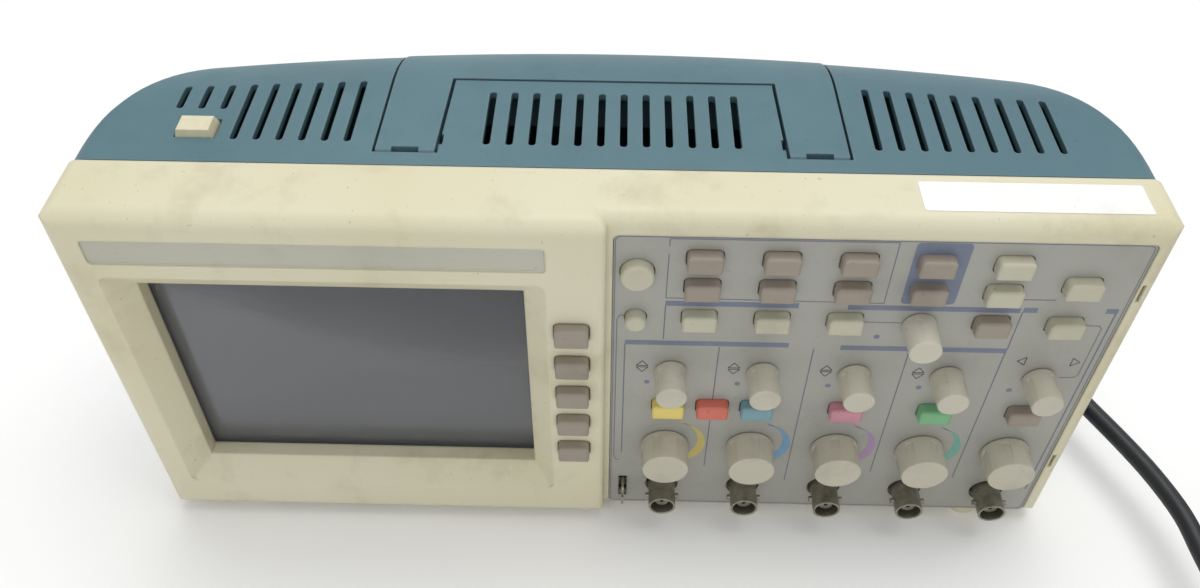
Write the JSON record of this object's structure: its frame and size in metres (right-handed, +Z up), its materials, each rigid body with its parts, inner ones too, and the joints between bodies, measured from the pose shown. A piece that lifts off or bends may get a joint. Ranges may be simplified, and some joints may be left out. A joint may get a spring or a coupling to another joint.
{
  "type": "oscilloscope",
  "caption": "Bench oscilloscope with a screen, keys and knobs on a panel, input connectors, a folding handle, flip feet and a mains cord.",
  "frame": {"origin": "middle of the footprint at the bench, measured without the cord", "axes": "+X to the right seen from the front, +Y from the front to the rear, +Z up"},
  "size_m": [0.5255, 0.25, 0.1522],
  "materials": {
    "beige_housing": "fine satin grain",
    "teal_housing": "fine satin grain",
    "grey_overlay": "satin film",
    "window": "clear grey, smooth",
    "module": "pressed frame round a dark panel",
    "chassis": "mill finish",
    "circuit_board": "solder mask",
    "supply": "mixed electronic parts",
    "nickel": "dull nickel plate",
    "mat": "matt silicone",
    "screw_steel": "zinc plate",
    "mauve_key": "smooth moulding",
    "cream_key": "smooth moulding",
    "yellow_key": "smooth moulding",
    "red_key": "smooth moulding",
    "blue_key": "smooth moulding",
    "pink_key": "smooth moulding",
    "green_key": "smooth moulding",
    "knob_grey": "smooth moulding",
    "foot_grey": "satin",
    "black_pvc": "satin sheath"
  },
  "bodies": {
    "case": {"front_case": "beige_housing", "front_overlay": "grey_overlay", "rear_case": "teal_housing", "display_window": "window", "display_module": "module", "chassis": "chassis", "front_panel_board": "circuit_board", "main_board": "circuit_board", "power_supply": "supply", "front_connectors": "nickel", "keypad_mats": "mat", "case_screws": "screw_steel", "power_cord": "black_pvc", "cord_coil": "black_pvc", "cord_connector": "black_pvc", "cord_plug": "black_pvc"},
    "print_key": {"print_key": "cream_key"},
    "probe_check_key": {"probe_check_key": "cream_key"},
    "save_key": {"save_key": "mauve_key"},
    "utility_key": {"utility_key": "mauve_key"},
    "measure_key": {"measure_key": "mauve_key"},
    "cursor_key": {"cursor_key": "mauve_key"},
    "acquire_key": {"acquire_key": "mauve_key"},
    "display_key": {"display_key": "mauve_key"},
    "help_key": {"help_key": "mauve_key"},
    "default_key": {"default_key": "mauve_key"},
    "autoset_key": {"autoset_key": "cream_key"},
    "single_key": {"single_key": "cream_key"},
    "run_stop_key": {"run_stop_key": "cream_key"},
    "trigger_view_key": {"trigger_view_key": "cream_key"},
    "force_trigger_key": {"force_trigger_key": "cream_key"},
    "half_level_key": {"half_level_key": "cream_key"},
    "trigger_menu_key": {"trigger_menu_key": "mauve_key"},
    "set_zero_key": {"set_zero_key": "cream_key"},
    "channel_1_key": {"channel_1_key": "yellow_key"},
    "math_key": {"math_key": "red_key"},
    "channel_2_key": {"channel_2_key": "blue_key"},
    "channel_3_key": {"channel_3_key": "pink_key"},
    "channel_4_key": {"channel_4_key": "green_key"},
    "horizontal_key": {"horizontal_key": "mauve_key"},
    "soft_key_1": {"soft_key_1": "mauve_key"},
    "soft_key_2": {"soft_key_2": "mauve_key"},
    "soft_key_3": {"soft_key_3": "mauve_key"},
    "soft_key_4": {"soft_key_4": "mauve_key"},
    "soft_key_5": {"soft_key_5": "mauve_key"},
    "power_button": {"power_button": "cream_key"},
    "position_1_knob": {"position_1_knob": "knob_grey"},
    "position_2_knob": {"position_2_knob": "knob_grey"},
    "position_3_knob": {"position_3_knob": "knob_grey"},
    "position_4_knob": {"position_4_knob": "knob_grey"},
    "horizontal_position_knob": {"horizontal_position_knob": "knob_grey"},
    "trigger_level_knob": {"trigger_level_knob": "knob_grey"},
    "volts_1_knob": {"volts_1_knob": "knob_grey"},
    "volts_2_knob": {"volts_2_knob": "knob_grey"},
    "volts_3_knob": {"volts_3_knob": "knob_grey"},
    "volts_4_knob": {"volts_4_knob": "knob_grey"},
    "time_knob": {"time_knob": "knob_grey"},
    "handle": {"handle": "teal_housing"},
    "left_flip_foot": {"left_flip_foot": "foot_grey"},
    "right_flip_foot": {"right_flip_foot": "foot_grey"}
  },
  "joints": [
    {"name": "print_key_press", "type": "slide", "parent": "case", "child": "print_key", "axis": [0, 1, 0], "range_m": [0, 0.001], "stiffness_N_per_m": 400},
    {"name": "probe_check_key_press", "type": "slide", "parent": "case", "child": "probe_check_key", "axis": [0, 1, 0], "range_m": [0, 0.001], "stiffness_N_per_m": 400},
    {"name": "save_key_press", "type": "slide", "parent": "case", "child": "save_key", "axis": [0, 1, 0], "range_m": [0, 0.001], "stiffness_N_per_m": 400},
    {"name": "utility_key_press", "type": "slide", "parent": "case", "child": "utility_key", "axis": [0, 1, 0], "range_m": [0, 0.001], "stiffness_N_per_m": 400},
    {"name": "measure_key_press", "type": "slide", "parent": "case", "child": "measure_key", "axis": [0, 1, 0], "range_m": [0, 0.001], "stiffness_N_per_m": 400},
    {"name": "cursor_key_press", "type": "slide", "parent": "case", "child": "cursor_key", "axis": [0, 1, 0], "range_m": [0, 0.001], "stiffness_N_per_m": 400},
    {"name": "acquire_key_press", "type": "slide", "parent": "case", "child": "acquire_key", "axis": [0, 1, 0], "range_m": [0, 0.001], "stiffness_N_per_m": 400},
    {"name": "display_key_press", "type": "slide", "parent": "case", "child": "display_key", "axis": [0, 1, 0], "range_m": [0, 0.001], "stiffness_N_per_m": 400},
    {"name": "help_key_press", "type": "slide", "parent": "case", "child": "help_key", "axis": [0, 1, 0], "range_m": [0, 0.001], "stiffness_N_per_m": 400},
    {"name": "default_key_press", "type": "slide", "parent": "case", "child": "default_key", "axis": [0, 1, 0], "range_m": [0, 0.001], "stiffness_N_per_m": 400},
    {"name": "autoset_key_press", "type": "slide", "parent": "case", "child": "autoset_key", "axis": [0, 1, 0], "range_m": [0, 0.001], "stiffness_N_per_m": 400},
    {"name": "single_key_press", "type": "slide", "parent": "case", "child": "single_key", "axis": [0, 1, 0], "range_m": [0, 0.001], "stiffness_N_per_m": 400},
    {"name": "run_stop_key_press", "type": "slide", "parent": "case", "child": "run_stop_key", "axis": [0, 1, 0], "range_m": [0, 0.001], "stiffness_N_per_m": 400},
    {"name": "trigger_view_key_press", "type": "slide", "parent": "case", "child": "trigger_view_key", "axis": [0, 1, 0], "range_m": [0, 0.001], "stiffness_N_per_m": 400},
    {"name": "force_trigger_key_press", "type": "slide", "parent": "case", "child": "force_trigger_key", "axis": [0, 1, 0], "range_m": [0, 0.001], "stiffness_N_per_m": 400},
    {"name": "half_level_key_press", "type": "slide", "parent": "case", "child": "half_level_key", "axis": [0, 1, 0], "range_m": [0, 0.001], "stiffness_N_per_m": 400},
    {"name": "trigger_menu_key_press", "type": "slide", "parent": "case", "child": "trigger_menu_key", "axis": [0, 1, 0], "range_m": [0, 0.001], "stiffness_N_per_m": 400},
    {"name": "set_zero_key_press", "type": "slide", "parent": "case", "child": "set_zero_key", "axis": [0, 1, 0], "range_m": [0, 0.001], "stiffness_N_per_m": 400},
    {"name": "channel_1_key_press", "type": "slide", "parent": "case", "child": "channel_1_key", "axis": [0, 1, 0], "range_m": [0, 0.001], "stiffness_N_per_m": 400},
    {"name": "math_key_press", "type": "slide", "parent": "case", "child": "math_key", "axis": [0, 1, 0], "range_m": [0, 0.001], "stiffness_N_per_m": 400},
    {"name": "channel_2_key_press", "type": "slide", "parent": "case", "child": "channel_2_key", "axis": [0, 1, 0], "range_m": [0, 0.001], "stiffness_N_per_m": 400},
    {"name": "channel_3_key_press", "type": "slide", "parent": "case", "child": "channel_3_key", "axis": [0, 1, 0], "range_m": [0, 0.001], "stiffness_N_per_m": 400},
    {"name": "channel_4_key_press", "type": "slide", "parent": "case", "child": "channel_4_key", "axis": [0, 1, 0], "range_m": [0, 0.001], "stiffness_N_per_m": 400},
    {"name": "horizontal_key_press", "type": "slide", "parent": "case", "child": "horizontal_key", "axis": [0, 1, 0], "range_m": [0, 0.001], "stiffness_N_per_m": 400},
    {"name": "soft_key_1_press", "type": "slide", "parent": "case", "child": "soft_key_1", "axis": [0, 1, 0], "range_m": [0, 0.001], "stiffness_N_per_m": 400},
    {"name": "soft_key_2_press", "type": "slide", "parent": "case", "child": "soft_key_2", "axis": [0, 1, 0], "range_m": [0, 0.001], "stiffness_N_per_m": 400},
    {"name": "soft_key_3_press", "type": "slide", "parent": "case", "child": "soft_key_3", "axis": [0, 1, 0], "range_m": [0, 0.001], "stiffness_N_per_m": 400},
    {"name": "soft_key_4_press", "type": "slide", "parent": "case", "child": "soft_key_4", "axis": [0, 1, 0], "range_m": [0, 0.001], "stiffness_N_per_m": 400},
    {"name": "soft_key_5_press", "type": "slide", "parent": "case", "child": "soft_key_5", "axis": [0, 1, 0], "range_m": [0, 0.001], "stiffness_N_per_m": 400},
    {"name": "power_button_press", "type": "slide", "parent": "case", "child": "power_button", "axis": [0, 0, -1], "range_m": [0, 0.003], "stiffness_N_per_m": 500},
    {"name": "position_1_knob_turn", "type": "hinge", "parent": "case", "child": "position_1_knob", "pos_m": [0.0203, -0.055, 0.083], "axis": [0, 1, 0], "continuous": true},
    {"name": "position_2_knob_turn", "type": "hinge", "parent": "case", "child": "position_2_knob", "pos_m": [0.05, -0.055, 0.083], "axis": [0, 1, 0], "continuous": true},
    {"name": "position_3_knob_turn", "type": "hinge", "parent": "case", "child": "position_3_knob", "pos_m": [0.0797, -0.055, 0.083], "axis": [0, 1, 0], "continuous": true},
    {"name": "position_4_knob_turn", "type": "hinge", "parent": "case", "child": "position_4_knob", "pos_m": [0.1094, -0.055, 0.083], "axis": [0, 1, 0], "continuous": true},
    {"name": "horizontal_position_knob_turn", "type": "hinge", "parent": "case", "child": "horizontal_position_knob", "pos_m": [0.1391, -0.055, 0.083], "axis": [0, 1, 0], "continuous": true},
    {"name": "trigger_level_knob_turn", "type": "hinge", "parent": "case", "child": "trigger_level_knob", "pos_m": [0.0952, -0.055, 0.1076], "axis": [0, 1, 0], "continuous": true},
    {"name": "volts_1_knob_turn", "type": "hinge", "parent": "case", "child": "volts_1_knob", "pos_m": [0.0203, -0.055, 0.0428], "axis": [0, 1, 0], "continuous": true},
    {"name": "volts_2_knob_turn", "type": "hinge", "parent": "case", "child": "volts_2_knob", "pos_m": [0.05, -0.055, 0.0428], "axis": [0, 1, 0], "continuous": true},
    {"name": "volts_3_knob_turn", "type": "hinge", "parent": "case", "child": "volts_3_knob", "pos_m": [0.0797, -0.055, 0.0428], "axis": [0, 1, 0], "continuous": true},
    {"name": "volts_4_knob_turn", "type": "hinge", "parent": "case", "child": "volts_4_knob", "pos_m": [0.1094, -0.055, 0.0428], "axis": [0, 1, 0], "continuous": true},
    {"name": "time_knob_turn", "type": "hinge", "parent": "case", "child": "time_knob", "pos_m": [0.1391, -0.055, 0.0428], "axis": [0, 1, 0], "continuous": true},
    {"name": "handle_swing", "type": "hinge", "parent": "case", "child": "handle", "pos_m": [0, -0.01701, 0.145], "axis": [1, 0, 0], "range_deg": [0, 100]},
    {"name": "left_flip_foot_turn", "type": "hinge", "parent": "case", "child": "left_flip_foot", "pos_m": [-0.1, -0.0204, 0.0023], "axis": [-1, 0, 0], "range_deg": [0, 100]},
    {"name": "right_flip_foot_turn", "type": "hinge", "parent": "case", "child": "right_flip_foot", "pos_m": [0.1, -0.0204, 0.0023], "axis": [-1, 0, 0], "range_deg": [0, 100]}
  ]
}
